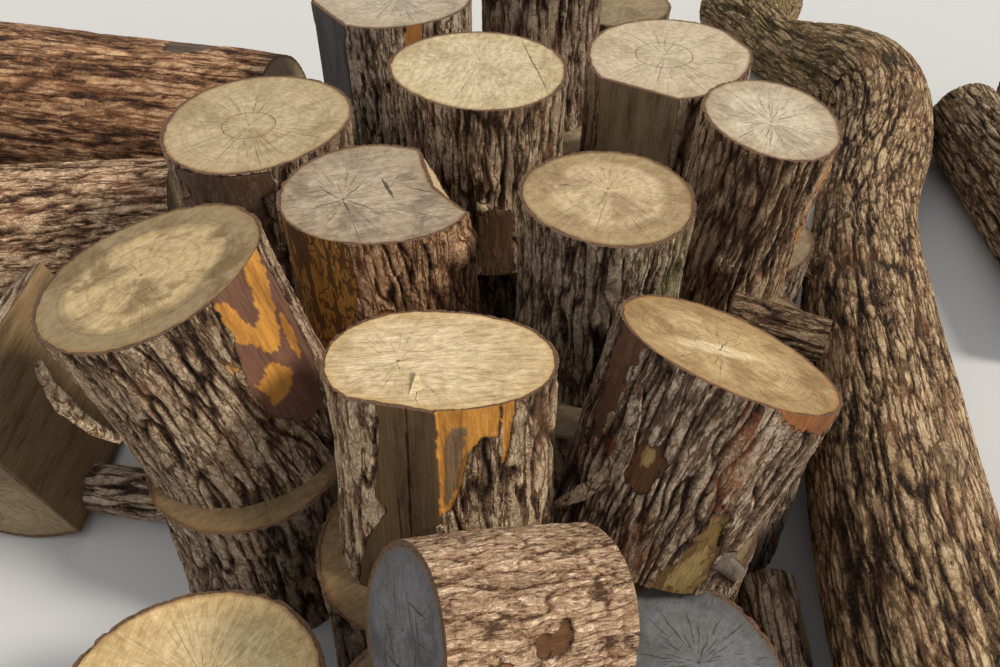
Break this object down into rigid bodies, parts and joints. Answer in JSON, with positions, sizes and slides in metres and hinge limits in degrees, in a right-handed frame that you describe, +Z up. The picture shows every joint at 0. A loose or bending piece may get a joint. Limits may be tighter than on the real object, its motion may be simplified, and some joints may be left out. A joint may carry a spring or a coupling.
{
  "type": "heap of logs",
  "caption": "Heap of sawn firewood rounds standing in two layers, with one round leaning, long bark-covered logs beside them and a bent trunk along one side.",
  "frame": {"origin": "centre of the heap's bounding box, on the ground", "axes": "+X along the heap's longest extent, to the viewer's right; +Y away from the viewer; +Z up from the ground"},
  "size_m": [5.4696, 3.7004, 0.8481],
  "materials": {
    "furrowed_bark": "rough furrowed bark",
    "flaky_bark": "rough flaky bark",
    "blocky_bark": "rough blocky bark",
    "split_wood": "sawn weathered wood"
  },
  "bodies": {
    "root": {"back_left_base": "furrowed_bark", "back_left_round": "furrowed_bark", "back_right_base": "furrowed_bark", "back_right_round": "furrowed_bark", "bent_trunk": "blocky_bark", "big_lying_log": "flaky_bark", "chipped_round": "furrowed_bark", "chipped_round_base": "furrowed_bark", "dark_log": "blocky_bark", "far_ground_round": "furrowed_bark", "far_left_base": "furrowed_bark", "far_left_round": "furrowed_bark", "far_right_base": "furrowed_bark", "far_right_round": "furrowed_bark", "front_left_ground_round": "furrowed_bark", "front_log_base": "furrowed_bark", "front_lying_log": "flaky_bark", "front_right_base": "furrowed_bark", "front_right_leaning_round": "furrowed_bark", "front_round": "furrowed_bark", "front_round_base": "furrowed_bark", "gap_log": "flaky_bark", "ground_stub": "flaky_bark", "half_log": "split_wood", "leaning_round_base": "furrowed_bark", "leaning_round_prop": "furrowed_bark", "left_leaning_base": "furrowed_bark", "left_leaning_round": "furrowed_bark", "lower_lying_log": "flaky_bark", "middle_back_base": "furrowed_bark", "middle_back_round": "furrowed_bark", "middle_left_base": "furrowed_bark", "middle_right_back_base": "furrowed_bark", "middle_right_base": "furrowed_bark", "middle_right_round": "furrowed_bark", "orange_end_log": "flaky_bark", "right_base": "furrowed_bark", "right_round": "furrowed_bark", "second_trunk": "blocky_bark", "shaded_ground_round": "furrowed_bark"}
  },
  "joints": []
}
